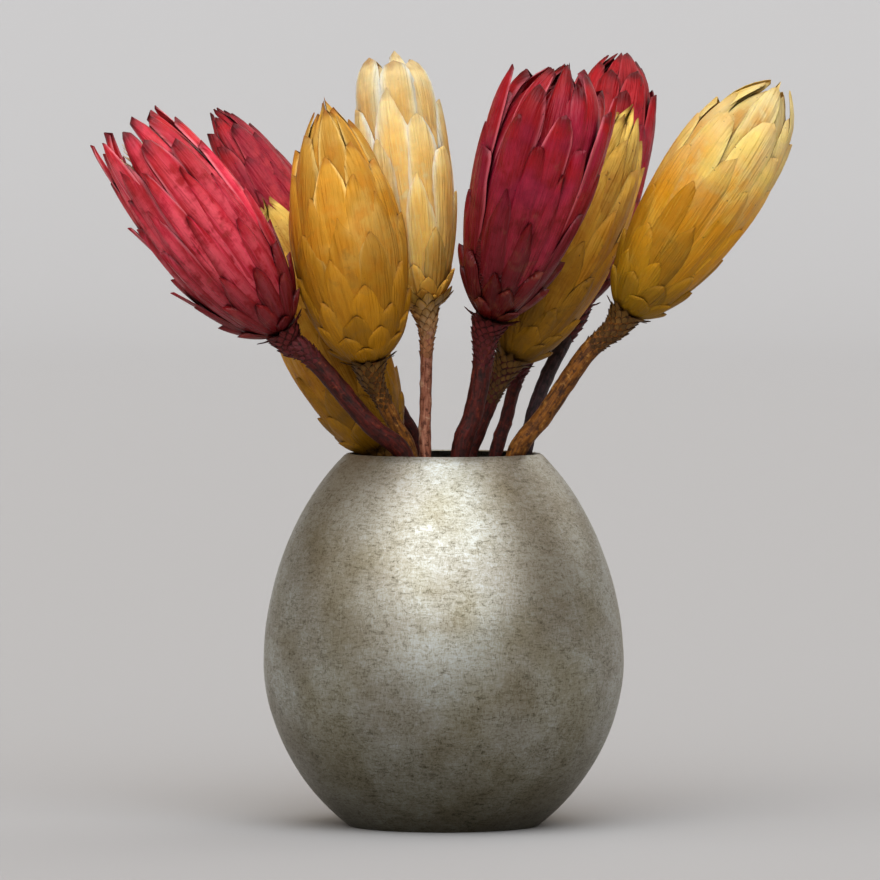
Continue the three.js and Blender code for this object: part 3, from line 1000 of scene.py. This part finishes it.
@dataclass
class ProteaHead:
    """A dried head: a core, the spiral of bracts that wraps it and the dry florets in its crown.

    Core_depth is how deep the core lies, in millimetres, core_reach its end and crown_from and crown_depth
    where the crown closes, as shares of the head's length. Outline_end is the last share at which a bract
    follows the outline. Ripples and waves say how quickly a bract's edge wavers sideways and outwards along
    it. The lid's bracts start at lid_start, each lid_step shorter than the last, and count as lid_rise up
    the head. Florets stand from floret_foot on, over floret_reach of the crown.
    """

    flower: Flower
    templates: dict[BractForm, BractTemplate]
    core_depth: float = 3.8
    core_reach: float = 0.82
    crown_from: float = 0.84
    crown_depth: float = 0.16
    outline_end: float = 0.985
    ripples: float = 17.0
    waves: float = 9.0
    lid_bracts: int = 16
    lid_start: float = 0.42
    lid_step: float = 0.006
    lid_rise: float = 0.92
    floret_thick: float = 0.6
    floret_foot: float = 0.8
    floret_reach: float = 0.72

    def build(self, materials: dict[object, Material]) -> None:
        """Builds and dresses the head.

        Args:
            materials: the material of each finish.
        """
        flower = self.flower
        self.draw = random.Random(flower.name)
        bracts = self.spiral() + self.lid() + self.standing()
        head = join([self.core(), *map(self.wrap, bracts)], f"bracts_{flower.name}")
        dress(head, materials[flower.tint], f"head_{flower.name}", 55.0)
        if flower.florets:
            dress(self.tuft(), materials["floret"])

    def core(self) -> Piece:
        """Makes the dark inner body that shows in the gaps between bracts, its darkness painted shade.

        Returns:
            The core.
        """
        flower = self.flower
        deselect()
        bpy.ops.mesh.primitive_uv_sphere_add(segments=24, ring_count=18, radius=1.0)
        piece = bpy.context.object
        places, facts = [], []
        for vertex in piece.data.vertices:
            x, y, z = vertex.co
            t = 0.01 + (z + 1) / 2 * (self.core_reach - 0.01)
            narrowing = 1 - 0.55 * mix(0.0, 1.0, (t - 0.4) / 0.4)
            radius = max(0.3, flower.outline(t) - self.core_depth) * min(narrowing, 1.5 * math.hypot(x, y))
            places.append(flower.point(math.atan2(x, -y), t, radius))
            facts.append((0.2, 0.0, t))
        # painted shade: a tone of 0.6 darkens the core, which shows only in the gaps
        set_points(piece, places, facts, [tuple(place / MM) for place in places], tone=0.6)
        return piece

    def spiral(self) -> list[Bract]:
        """Sets the outer bracts: each a golden angle round from the last and further up.

        Returns:
            The bracts, from the lowest up.
        """
        flower, detail, draw = self.flower, self.flower.detail, self.draw
        bracts = []
        for i in range(detail.count):
            rise = i / (detail.count - 1)
            end = detail.tip(rise)
            length = mix(detail.shortest, detail.longest, end * 1.15) * draw.uniform(0.94, 1.06)
            inner = max(0.0, (rise - self.crown_from) / self.crown_depth)
            half_width = detail.half_width * mix(detail.low_width, 1.0, end * 2.2)
            press = detail.press + detail.incurve * max(0.0, (rise - 0.4) / 0.6)
            bracts.append(
                Bract(
                    form=BractForm.BLUNT if rise > detail.blunt_from else detail.form,
                    angle=flower.turn + i * GOLDEN_ANGLE + draw.uniform(-0.13, 0.13) * detail.loose,
                    start=max(0.0, end - length),
                    end=min(1 - 0.025 * detail.closed, end + draw.uniform(-0.02, 0.015) * detail.loose),
                    half_width=half_width * draw.uniform(0.9, 1.08),
                    lift=(0.2 + flower.splay * 0.35 * rise) * draw.uniform(0.2, 1.4),
                    lean=detail.lean * inner * draw.uniform(0.7, 1.1),
                    rise=end,
                    tone=draw.uniform(0.74, 1.2),
                    sunk=detail.sunk,
                    cup=-detail.convex * draw.uniform(0.5, 1.3),
                    twist=draw.uniform(-1.6, 1.6) * detail.loose * mix(0.3, 1.0, rise),
                    curl=draw.uniform(-0.4, 0.4) * detail.loose,
                    press=press * draw.uniform(0.5, 1.3),
                    wave=draw.uniform(0.1, 0.3) * detail.loose,
                )
            )
        return bracts

    def lid(self) -> list[Bract]:
        """Sets the inner bracts that close the crown.

        Returns:
            The bracts, from the outermost in.
        """
        detail, draw = self.flower.detail, self.draw
        return [
            Bract(
                form=BractForm.BLUNT if detail.closed > 0.5 else detail.form,
                angle=self.flower.turn + i * GOLDEN_ANGLE,
                start=self.lid_start,
                end=detail.closing_end - self.lid_step * i,
                half_width=0.75 * detail.half_width,
                lift=0.0,
                lean=mix(0.3, 0.95, i / 14),
                rise=self.lid_rise,
                tone=draw.uniform(0.7, 0.95),
                sunk=detail.sunk + 0.6,
                cup=-0.5,
                twist=draw.uniform(-1, 1),
                press=1.5,
            )
            for i in range(self.lid_bracts)
        ]

    def standing(self) -> list[Bract]:
        """Sets the bracts that stand out of the head.

        Returns:
            The bracts, in the order of the flower's list.
        """
        return [
            Bract(
                form=BractForm.BLUNT if tall.closing else self.flower.detail.form,
                angle=tall.angle,
                start=tall.start,
                end=min(tall.end, 1.02),
                half_width=tall.half_width * 1.2,
                lift=tall.lift,
                lean=0.0,
                rise=tall.end,
                tone=self.draw.uniform(0.85, 1.0),
                sunk=4.5,
                cup=-0.8,
                twist=self.draw.uniform(-0.8, 0.8),
                curl=0.1,
                closing=tall.closing,
                yaw=tall.yaw,
            )
            for tall in self.flower.tall
        ]

    def wrap(self, bract: Bract) -> Piece:
        """Copies the flat bract and wraps it on the head's outline.

        Args:
            bract: where it goes and how it bends.

        Returns:
            The wrapped copy.
        """
        flower = self.flower
        piece = twin_of(self.templates[bract.form].piece)
        phase = self.draw.uniform(0, 6.28)
        length = (bract.end - bract.start) * flower.length
        shift = self.draw.uniform(0, 400)
        places, facts, grains = [], [], []
        for vertex in piece.data.vertices:
            x, y, z = vertex.co
            s = BractTemplate.share(y)
            edge = bract.form.edge(x, s)
            ripple = math.sin(self.ripples * s + phase + (4 if x > 0 else 0))
            x *= 1 + 0.09 * bract.wave / 0.2 * ripple * edge * s
            t = bract.start + (bract.end - bract.start) * s
            # the outline, which closes over the crown
            skin = max(1.5, flower.outline(min(t, self.outline_end)))
            over = min(1.0, max(0.0, (t - self.crown_from) / self.crown_depth))
            skin *= 1 - flower.detail.closed * bract.closing * (1 - math.sqrt(1 - over * over))
            # the way the bract lies on it, from root to tip
            radius = skin * (1 - bract.lean * s**3)
            radius += bract.lift * s * s - bract.sunk * (1 - s)
            radius += bract.yaw * x * bract.half_width * s
            # its cupped edges and the keel along its middle
            radius += bract.cup * edge * edge * s + 0.2 * math.exp(-((edge / 0.2) ** 2)) * s
            # the bend of its tip and the waves of its edge
            radius += bract.curl * max(0.0, s - 0.8) ** 2 * 25 - bract.press * s**8
            radius += bract.wave * edge * edge * math.sin(self.waves * s + phase + (2 if x > 0 else 0))
            # its thickness, which thins out towards the edge
            radius += bract.thickness * (z - 0.5) * (1 - 0.55 * edge**3)
            radius = max(0.4, radius)
            girth = max(skin * (1 - 0.6 * bract.lean * s**3), 2.5)
            turn = (x * bract.half_width + bract.twist * s * s) / girth
            places.append(flower.point(bract.angle + turn, t, radius))
            facts.append((s, edge, mix(bract.rise, t, 0.65)))
            grains.append((x * bract.half_width + shift, s * length, shift))
        set_points(piece, places, facts, grains, bract.tone)
        return piece

    def tuft(self) -> Piece:
        """Makes the dry florets: thin four-sided threads that stand in the crown.

        Returns:
            The tuft.
        """
        flower, draw = self.flower, self.draw
        deselect()
        bpy.ops.mesh.primitive_cone_add(
            vertices=4, radius1=1.0, radius2=0.25, depth=1.0, end_fill_type="TRIFAN"
        )
        thread = bpy.context.object
        bpy.ops.object.mode_set(mode="EDIT")
        select_points(thread, lambda co: True)
        bpy.ops.transform.translate(value=(0, 0, 0.5))
        bpy.ops.mesh.subdivide(number_cuts=1)
        bpy.ops.object.mode_set(mode="OBJECT")
        threads = []
        for i in range(flower.florets):
            twin = twin_of(thread)
            foot, top = self.floret_foot, draw.uniform(0.86, 0.93)
            reach = flower.outline(top) * self.floret_reach * math.sqrt((i + 0.5) / flower.florets)
            places, facts = [], []
            for vertex in twin.data.vertices:
                x, y, z = vertex.co
                middle = flower.point(i * GOLDEN_ANGLE, foot + (top - foot) * z, reach * (0.8 + 0.2 * z * z))
                side = (flower.across * x + flower.back * y) * self.floret_thick * MM
                places.append(middle + side)
                facts.append((z, 0.0, 1.0))
            set_points(twin, places, facts)
            threads.append(twin)
        discard(thread)
        return join(threads, f"florets_{flower.name}")


@dataclass
class WoodyStem:
    """A cut stem with knobs where leaves were, and the scaly cone under its head, in millimetres.

    Rough is how uneven the bark is, rough_length over what length it changes, and sunk how far it lies in.
    The scales cover cone_cover times the length of the cone, and grow from smallest to largest on the way
    up. Their tips stand off by scale_lift, and their roots are scale_sunk deep.
    """

    flower: Flower
    templates: dict[BractForm, BractTemplate]
    sides: int = 16
    row_length: float = 1.7
    rough: float = 0.3
    rough_length: float = 5.0
    sunk: float = 0.25
    knob_spacing: float = 7.0
    knob_length: float = 1.5
    knob_width: float = 1.7
    knob_height: float = 0.75
    knob_end: float = 5.0
    cone_cover: float = 1.12
    smallest: float = 0.72
    largest: float = 1.15
    scale_thickness: float = 0.55
    scale_lift: float = 0.35
    scale_sunk: float = 0.9

    def build(self, materials: dict[object, Material]) -> None:
        """Builds and dresses the stem and its neck.

        Args:
            materials: the material of each finish.
        """
        flower = self.flower
        self.draw = random.Random("stem " + flower.name)
        self.line = StemLine(flower)
        dress(self.rod(), materials[flower.bark], f"stem_{flower.name}", 60.0)
        dress(self.neck(), materials[flower.neck.tint], None, 55.0)

    def girth(self, share: float) -> float:
        """The stem's radius, without knobs.

        Args:
            share: how far up the stem, from 0 to 1.

        Returns:
            The radius in millimetres.
        """
        flower = self.flower
        from_top = (1 - share) * self.line.length
        in_cone = max(0.0, 1 - from_top / flower.CONE_LENGTH)
        return flower.thick + (flower.radius * flower.COLLAR_SHARE - flower.thick) * in_cone**1.6

    def knobs(self) -> list[Point]:
        """The knobs where leaves were: place along the stem as a share, angle round it and size."""
        draw = self.draw
        count = round(self.line.length / self.knob_spacing)
        return [
            ((i + draw.uniform(0.2, 0.8)) / count, i * 2.4 + draw.uniform(-0.5, 0.5), draw.uniform(0.35, 1.0))
            for i in range(count)
        ]

    def rod(self) -> Piece:
        """Makes the bark: a cylinder cut into rows, bent along the centre line and knobbed.

        Returns:
            The bark.
        """
        flower, line = self.flower, self.line
        deselect()
        bpy.ops.mesh.primitive_cylinder_add(vertices=self.sides, radius=1.0, depth=1.0)
        piece = bpy.context.object
        piece.name = f"bark_{flower.name}"
        bpy.ops.object.mode_set(mode="EDIT")
        shape = bmesh.from_edit_mesh(piece.data)
        bpy.ops.mesh.select_all(action="DESELECT")
        for edge in shape.edges:
            edge.select = abs(edge.verts[0].co.z - edge.verts[1].co.z) > 0.5
        bmesh.update_edit_mesh(piece.data)
        bpy.ops.mesh.subdivide(number_cuts=round(line.length / self.row_length))
        bpy.ops.object.mode_set(mode="OBJECT")
        knobs = self.knobs()
        places, facts, grains = [], [], []
        for vertex in piece.data.vertices:
            x, y, z = vertex.co
            share = z + 0.5
            middle, tangent = line.at(share)
            angle = math.atan2(x, -y)
            height = share * line.length / self.rough_length
            rough = noise.noise(Vector((math.sin(angle) * 1.3, math.cos(angle) * 1.3, height)))
            swell = 0.0
            for at, facing, size in knobs:
                gap = (share - at) * line.length
                if abs(gap) < self.knob_end:
                    turn = math.remainder(angle - facing, math.tau) * flower.thick
                    swell += size * math.exp(-((gap / self.knob_length) ** 2) - (turn / self.knob_width) ** 2)
            girth = self.girth(share) - self.sunk + self.rough * rough + self.knob_height * swell
            places.append(around(middle, Flower.axes(tangent), angle, girth))
            facts.append((min(1.0, swell), 0.0, share))
            grains.append((math.sin(angle) * girth, share * line.length, math.cos(angle) * girth))
        set_points(piece, places, facts, grains)
        return piece

    def neck(self) -> Piece:
        """Makes the small overlapping scales of the cone.

        Returns:
            The scales, joined.
        """
        flower, line, draw, neck = self.flower, self.line, self.draw, self.flower.neck
        form = BractForm.SCALE
        scales = []
        for i in range(neck.count):
            rise = i / (neck.count - 1)
            end = -flower.CONE_LENGTH * self.cone_cover * (1 - rise) ** 1.15 + neck.above * rise
            twin = twin_of(self.templates[form].piece)
            size = mix(self.smallest, self.largest, rise)
            shift = draw.uniform(0, 300)
            places, facts, grains = [], [], []
            for vertex in twin.data.vertices:
                x, y, z = vertex.co
                s = BractTemplate.share(y)
                edge = form.edge(x, s)
                above = end - neck.length * size * (1 - s)
                middle, tangent = line.at(1 + min(0.0, above) / line.length)
                girth = self.girth(min(1.0, 1 + above / line.length))
                if above > 0:
                    middle = middle + flower.along * above
                    girth = flower.outline(above / flower.length) + mix(-0.6, neck.proud, above / 5)
                # its tip stands off, its root and edges are sunk
                girth += self.scale_lift * s * s - self.scale_sunk * (1 - s)
                girth += self.scale_thickness * (z - 0.5) - 0.35 * edge * edge
                angle = i * GOLDEN_ANGLE + x * neck.half_width * size / max(girth, 1.5)
                places.append(around(middle, Flower.axes(tangent), angle, girth))
                facts.append((0.45 + 0.55 * s, edge, rise))
                grains.append((x * neck.half_width + shift, s * neck.length, shift))
            set_points(twin, places, facts, grains, draw.uniform(0.75, 1.15))
            scales.append(twin)
        return join(scales, f"scales_{flower.name}")


@dataclass
class Vase:
    """The egg-shaped vase, in millimetres: two quarter superellipses spun round, with a thin rim.

    Wall is its thickness, measured level at the rim, and square to the wall from square_below under it.
    Between the heights in dented, it has dents where the noise is under dent_level.
    """

    height: float = 158.0
    belly_height: float = 70.0
    belly: float = 76.7
    foot: float = 40.3
    mouth: float = 41.5
    power: float = 1.88
    wall: float = 2.0
    floor: float = 3.0
    sides: int = 144
    rings: int = 64
    inner_rings: int = 30
    square_below: float = 12.0
    dents_per_metre: float = 48.0
    dent_depth: float = 0.3
    dent_level: float = 0.35
    dented: tuple[float, float] = (4.0, 154.0)

    def outline(self, z: float) -> float:
        """The vase's outer radius.

        Args:
            z: the height.

        Returns:
            The radius there.
        """
        below = z < self.belly_height
        end = self.foot if below else self.mouth
        drop = self.belly_height if below else self.height - self.belly_height
        end_share = (1 - (end / self.belly) ** self.power) ** (1 / self.power)
        share = abs(z - self.belly_height) / drop * end_share
        return self.belly * (1 - share**self.power) ** (1 / self.power)

    def profile(self) -> list[tuple[float, float]]:
        """Goes from the foot up outside, over the rim and down inside.

        Returns:
            Radius and height of each ring.
        """
        top, mouth = self.height, self.mouth
        lip, inner_lip = top - 0.6, top - 1.0
        heights = [lip * i / self.rings for i in range(self.rings + 1)]
        outside = [(self.outline(z), z) for z in heights[1:]]
        rim = [(mouth, top - 0.3), (mouth - 0.35, top), (mouth - 1.5, top), (mouth - 1.95, top - 0.4)]
        inside = []
        for i in range(1, self.inner_rings + 1):
            z = mix(inner_lip, self.floor, i / self.inner_rings)
            slope = (self.outline(z + 1) - self.outline(z - 1)) / 2
            thickness = self.wall * mix(1.0, math.hypot(1, slope), (inner_lip - z) / self.square_below)
            inside.append((self.outline(z) - thickness, z))
        return [(self.foot, 0.0), *outside, *rim, *inside]

    def build(self, materials: dict[object, Material]) -> None:
        """Spins the profile ring by ring and dresses the vase.

        Args:
            materials: the material of each finish.
        """
        deselect()
        bpy.ops.mesh.primitive_circle_add(vertices=self.sides, radius=self.foot * MM, fill_type="NOTHING")
        piece = bpy.context.object
        piece.name = "vase_body"
        bpy.ops.object.mode_set(mode="EDIT")
        bpy.ops.mesh.select_all(action="SELECT")
        draw_out(self.profile(), MM, bpy.ops.mesh.extrude_region_move)
        bpy.ops.mesh.edge_face_add()
        select_points(piece, lambda co: co.z < 1e-6)
        bpy.ops.mesh.edge_face_add()
        bpy.ops.mesh.select_all(action="SELECT")
        bpy.ops.mesh.normals_make_consistent(inside=False)
        bpy.ops.object.mode_set(mode="OBJECT")
        self.beat(piece)
        dress(piece, materials["vase"], "vase", 35.0)

    def beat(self, piece: Piece) -> None:
        """Makes the round wall a little uneven, as metal worked by hand is.

        Args:
            piece: the vase.
        """
        low, high = (z * MM for z in self.dented)
        places = []
        for vertex in piece.data.vertices:
            x, y, z = vertex.co
            dent = 0.0
            if low < z < high:
                rough = noise.noise(vertex.co * self.dents_per_metre)
                dent = min(0.0, (rough - self.dent_level) * self.dent_depth * MM)
            places.append(vertex.co + Vector((x, y, 0)).normalized() * dent)
        set_points(piece, places)


@dataclass
class Studio:
    """The camera, the pale floor and the soft lights. The floor curves up all round, far off."""

    eye: Point = (-0.0015, -3.580, 0.3006)
    pitch: float = 2.19
    lens: float = 345.3
    sensor: float = 36.0
    sight: float = 100.0
    floor_radius: float = 7.0
    floor_rise: float = 3.0
    floor_steps: int = 12
    room: float = 0.2
    room_tone: str = "ffd49a"
    panel: float = 2.26
    panel_tone: str = "eef5ff"

    def build(self, materials: dict[object, Material]) -> None:
        """Builds the camera, floor, lights and sky.

        Args:
            materials: the material of each finish.
        """
        self.camera()
        self.floor(materials["floor"])
        self.soft_light("key_light", come_from=(-0.16, -0.88, 0.9), strength=1.2, spread=66.0)
        self.soft_light("side_light", come_from=(-1.0, -0.35, 0.45), strength=0.5, spread=60.0)
        self.soft_light("back_light", come_from=(0.7, 0.9, 0.8), strength=0.7, spread=60.0)
        self.sky()

    def camera(self) -> None:
        """The camera at the photograph's viewing angle."""
        bpy.ops.object.camera_add(location=self.eye, rotation=(math.radians(90 - self.pitch), 0, 0))
        camera = bpy.context.object
        camera.data.sensor_width = self.sensor
        camera.data.lens = self.lens
        camera.data.clip_end = self.sight
        bpy.context.scene.camera = camera

    def floor(self, paper: Material) -> None:
        """Lays the wide paper floor.

        Args:
            paper: its material.
        """
        deselect()
        bpy.ops.mesh.primitive_circle_add(vertices=96, radius=self.floor_radius, fill_type="NGON")
        piece = bpy.context.object
        piece.name = "studio_floor"
        bpy.ops.object.mode_set(mode="EDIT")
        shape = bmesh.from_edit_mesh(piece.data)
        for face in shape.faces:
            face.select = False
        for edge in shape.edges:
            edge.select = True
        bmesh.update_edit_mesh(piece.data)
        angles = [math.radians(90 * step / self.floor_steps) for step in range(self.floor_steps + 1)]
        rings = [
            (self.floor_radius + self.floor_rise * math.sin(angle), self.floor_rise * (1 - math.cos(angle)))
            for angle in angles
        ]
        draw_out(rings, 1.0, bpy.ops.mesh.extrude_edges_move)
        bpy.ops.object.mode_set(mode="OBJECT")
        piece.data.materials.append(paper)
        activate(piece)
        bpy.ops.object.shade_smooth()

    def soft_light(self, name: str, come_from: Point, strength: float, spread: float) -> None:
        """A wide, soft and even light, like that of a large studio panel.

        Args:
            name: the light's name.
            come_from: the direction that it comes from.
            strength: in watts per square metre.
            spread: how wide it looks from the bouquet, in degrees.
        """
        turn = Vector(come_from).to_track_quat("Z", "Y").to_euler()
        bpy.ops.object.light_add(type="SUN", location=come_from, rotation=turn)
        light = bpy.context.object
        light.name = name
        light.data.energy = strength
        light.data.angle = math.radians(spread)

    def sky(self) -> None:
        """A dim warm room, and a long soft panel of light above, widest where it reaches down in front."""
        world = bpy.data.worlds.new("studio_sky")
        add = empty_nodes(world)
        toward = add("TexCoord").outputs["Generated"]
        right, back, up = add("SeparateXYZ", {0: toward}).outputs
        # the panel's middle leans a little to the right in front, and its edges draw in towards the back
        aside = add("Math", {0: back, 1: 0.1, 2: right}, operation="MULTIPLY_ADD")
        aside = add("Math", {0: aside, 1: 0.03}, operation="SUBTRACT")
        aside = add("Math", {0: aside}, operation="ABSOLUTE")
        aside = add("Math", {0: back, 1: 0.28, 2: aside}, operation="MULTIPLY_ADD")
        level = share_of(add, 1.0, (aside, 0.62, 0.1), (back, 0.6, 0.2), (up, -0.1, 0.42))
        tones = {0: level, 6: linear(self.room_tone), 7: linear(self.panel_tone)}
        light = {
            "Color": add("Mix", tones, data_type="RGBA").outputs[2],
            "Strength": add("Math", {0: level, 1: self.panel, 2: self.room}, operation="MULTIPLY_ADD"),
        }
        add("OutputWorld", {"Surface": add("Background", light)})
        bpy.context.scene.world = world
        bpy.context.scene.view_settings.view_transform = "Standard"


FLOWERS = [
    Flower(
        name="red_left", tint=Tint.CRIMSON, bark=Bark.MAROON, thick=4.2, foot=(4.5, -11.2),
        bends=[
            (-16.9, -26.9, 158.5), (-29, -29.8, 169.5), (-40, -30, 181.6), (-48.5, -28.5, 192),
            (-59, -26, 202.5),
        ],
        collar=(-68, -24.5, 210.5), tip=(-135.1, -34.5, 299.8), radius=24.6, peak=0.42, shoulder=1.65,
        crown=0.54, splay=3.2, turn=0.4, neck=Neck(NeckTint.MAROON), florets=36,
        detail=Detail(
            BractForm.LANCE, count=56, half_width=7.2, shortest=0.28, longest=0.86, low_share=0.34,
            low_top=0.34, crowd=0.62, convex=3.0, sunk=5.0, lean=0.4, press=0.3, incurve=0.8, loose=1.1,
            closed=0.1, blunt_from=0.72, closing_end=0.9,
        ),
        tall=[
            Tall(-1.75, 0.5, 0.99, half_width=4.4, lift=2.4),
            Tall(-0.8, 0.5, 0.98, half_width=5, lift=2.2),
            Tall(2.2, 0.5, 0.96, half_width=4.6, lift=1.4),
            Tall(-1.57, 0.36, 0.66, half_width=5, lift=2.4),
            Tall(-1.5, 0.1, 0.37, half_width=5, lift=3.0),
        ],
    ),
    Flower(
        name="red_back_left", tint=Tint.WINE, bark=Bark.MAROON, thick=3.1, foot=(-7.4, 1.0),
        bends=[(-9.5, 31, 157), (-17, 35.5, 172), (-27, 42, 190), (-35, 48, 206)],
        collar=(-41.5, 53, 219.5), tip=(-101.2, 73.4, 305.2), radius=16, peak=0.46, shoulder=1.45,
        crown=0.42, splay=1.4, turn=1.1, neck=Neck(NeckTint.MAROON),
        detail=Detail(
            BractForm.LANCE, count=48, half_width=6.8, shortest=0.28, longest=0.8, low_share=0.3,
            low_top=0.3, crowd=0.72, convex=1.6, sunk=3.8, lean=0.8, press=1.0, incurve=1.2, closed=0.3,
            blunt_from=0.6,
        ),
    ),
    Flower(
        name="gold_low_left", tint=Tint.OCHRE, bark=Bark.BROWN, thick=3.6, foot=(-13.1, -4.6),
        bends=[(-12, 5, 120), (-20.5, 8, 146)], collar=(-25.5, 9.5, 158.5), tip=(-77.9, 30.3, 267.8),
        radius=22.5, peak=0.43, shoulder=1.6, crown=0.25, splay=1.5, turn=0.2, neck=Neck(NeckTint.BROWN),
        detail=Detail(
            BractForm.OVAL, count=60, half_width=9.4, shortest=0.24, longest=0.56, low_share=0.32,
            low_top=0.26, crowd=0.85, convex=2.3, sunk=3.4,
        ),
    ),
    Flower(
        name="gold_front_left", tint=Tint.GOLD, bark=Bark.BROWN, thick=3.7, foot=(-2.1, -5.1),
        bends=[(-14.2, -15.5, 158), (-20, -17.5, 170), (-26, -19.5, 182)], collar=(-31.5, -21.7, 197.4),
        tip=(-50.8, -30.4, 310.4), radius=25.2, peak=0.42, shoulder=1.5, crown=0.2, splay=1.6, turn=0.0,
        neck=Neck(NeckTint.BROWN),
        detail=Detail(
            BractForm.OVAL, count=62, half_width=10.4, shortest=0.24, longest=0.58, low_share=0.34,
            low_top=0.28, crowd=0.82, convex=2.6, sunk=3.6,
        ),
    ),
    Flower(
        name="cream_centre", tint=Tint.CREAM, bark=Bark.PINK, thick=2.8, foot=(5.2, -2.4),
        bends=[(-7.8, 6, 157), (-7.6, 8.5, 180), (-7.2, 10.5, 203)], collar=(-8, 12, 219.5),
        tip=(-23.3, 17.3, 329.4), radius=20.4, peak=0.52, shoulder=2.3, crown=0.56, splay=2.0, turn=2.0,
        neck=Neck(NeckTint.TAN, count=84, half_width=3.3, length=6.4, above=8.0, proud=0.8),
        detail=Detail(
            BractForm.LANCE, count=50, half_width=9.4, shortest=0.12, longest=0.95, low_share=0.44,
            low_top=0.17, crowd=0.62, convex=1.4, sunk=3.4, lean=0.5, press=0.8, incurve=1.0, closed=0.4,
            blunt_from=0.62, low_width=0.38, lowest_tip=0.04,
        ),
        tall=[
            Tall(0.8, 0.2, 0.945, half_width=9.0, lift=-0.8, closing=1.6),
            Tall(-0.8, 0.25, 0.975, half_width=7.6, lift=0.4, closing=1.2),
            Tall(0.1, 0.3, 0.95, half_width=8.0, lift=0, closing=1),
        ],
    ),
    Flower(
        name="red_front", tint=Tint.MAGENTA, bark=Bark.MAROON, thick=4.4, foot=(13.1, 1.4),
        bends=[(7, -21, 158), (12.5, -19.5, 175.5), (16.3, -18, 195)], collar=(19.8, -18, 215.4),
        tip=(53.2, -34.8, 325.6), radius=27, peak=0.6, shoulder=2.5, crown=0.52, splay=2.8, turn=0.9,
        neck=Neck(NeckTint.MAROON),
        detail=Detail(
            BractForm.LANCE, count=54, half_width=8.0, shortest=0.26, longest=0.9, low_share=0.3,
            low_top=0.28, crowd=0.64, convex=3.8, sunk=5.8, lean=0.8, press=1.0, incurve=1.4, loose=1.4,
            closed=0.7, blunt_from=0.5, closing_end=0.965,
        ),
        tall=[
            Tall(-1.25, 0.34, 0.925, half_width=5.2, lift=0.2, yaw=-0.4),
            Tall(1.35, 0.4, 0.92, half_width=5.2, lift=0.4, yaw=0.4),
        ],
    ),
    Flower(
        name="red_back_right", tint=Tint.WINE, bark=Bark.BLACK, thick=3.3, foot=(-0.6, 15.9),
        bends=[(34.2, 9, 157), (39, 17, 177), (44.5, 27, 190.5), (51, 38, 203)], collar=(58, 51, 220.5),
        tip=(78.2, 79, 330), radius=20.2, peak=0.56, shoulder=3.2, crown=0.7, splay=1.0, turn=0.3,
        neck=Neck(NeckTint.MAROON),
        detail=Detail(
            BractForm.LANCE, count=50, half_width=7.8, shortest=0.26, longest=0.8, low_share=0.3,
            low_top=0.3, crowd=0.6, convex=1.6, sunk=4.0, lean=0.7, press=1.0, incurve=1.6, closed=0.8,
            blunt_from=0.45, closing_end=0.975,
        ),
    ),
    Flower(
        name="gold_right_behind", tint=Tint.OCHRE, bark=Bark.MAROON, thick=3.6, foot=(2.4, 7.7),
        bends=[(11, 4, 157), (15, 4.6, 168), (20.3, 5.6, 181)], collar=(28, 10, 197.5),
        tip=(81.8, 31.5, 307.1), radius=22.6, peak=0.42, shoulder=1.7, crown=0.25, splay=1.8, turn=0.7,
        neck=Neck(NeckTint.BROWN),
        detail=Detail(
            BractForm.OVAL, count=58, half_width=8.8, shortest=0.24, longest=0.66, low_share=0.32,
            low_top=0.26, crowd=0.78, convex=2.5, sunk=3.8,
        ),
    ),
    Flower(
        name="gold_right", tint=Tint.LEMON, bark=Bark.BROWN, thick=4.2, foot=(10.7, 10.9),
        bends=[(30.2, -13.3, 157.5), (42.5, -13.5, 174.5), (51.5, -12.8, 188), (62, -12, 202.5)],
        collar=(77, -11.5, 218), tip=(143.6, -16.3, 317.8), radius=23.7, peak=0.54, shoulder=2.15,
        crown=0.35, splay=1.0, turn=1.6, neck=Neck(NeckTint.BROWN),
        detail=Detail(
            BractForm.STRAP, count=54, half_width=9.8, shortest=0.22, longest=0.84, low_share=0.36,
            low_top=0.26, crowd=0.78, convex=2.5, sunk=3.8, lean=0.8, press=1.2, incurve=1.6, loose=0.8,
            closed=0.8, blunt_from=0.45, closing_end=0.97,
        ),
    ),
    Flower(
        name="red_back", tint=Tint.MAGENTA, bark=Bark.MAROON, thick=3.1, foot=(-9.2, 9.9),
        bends=[(22, 24.5, 156.5), (27, 31, 172), (31, 39.5, 188)], collar=(34, 48, 201),
        tip=(36.4, 113.6, 288.6), radius=20, peak=0.46, shoulder=1.7, crown=0.35, splay=1.6, turn=1.9,
        neck=Neck(NeckTint.MAROON),
        detail=Detail(
            BractForm.LANCE, count=52, half_width=7.0, shortest=0.26, longest=0.8, low_share=0.32,
            low_top=0.3, crowd=0.66, convex=1.8, sunk=4.2, lean=0.75, press=1.0, incurve=2.0, closed=0.8,
            blunt_from=0.55,
        ),
    ),
]


def main() -> None:
    """Builds the bouquet over its frame."""
    logging.basicConfig(level=logging.INFO, format="%(name)s: %(message)s")
    deselect()
    finishes = {choice: choice.value for choices in (Tint, Bark, NeckTint) for choice in choices}
    finishes.update(vase=WorkedNickel(), floret=DryFloret(), floor=MattePaper())
    materials = {choice: finish.material() for choice, finish in finishes.items()}
    templates = {form: BractTemplate(form) for form in BractForm}
    Studio().build(materials)
    Vase().build(materials)
    for flower in FLOWERS:
        WoodyStem(flower, templates).build(materials)
        ProteaHead(flower, templates).build(materials)
    for template in templates.values():
        discard(template.piece)


if __name__ == "__main__":
    main()
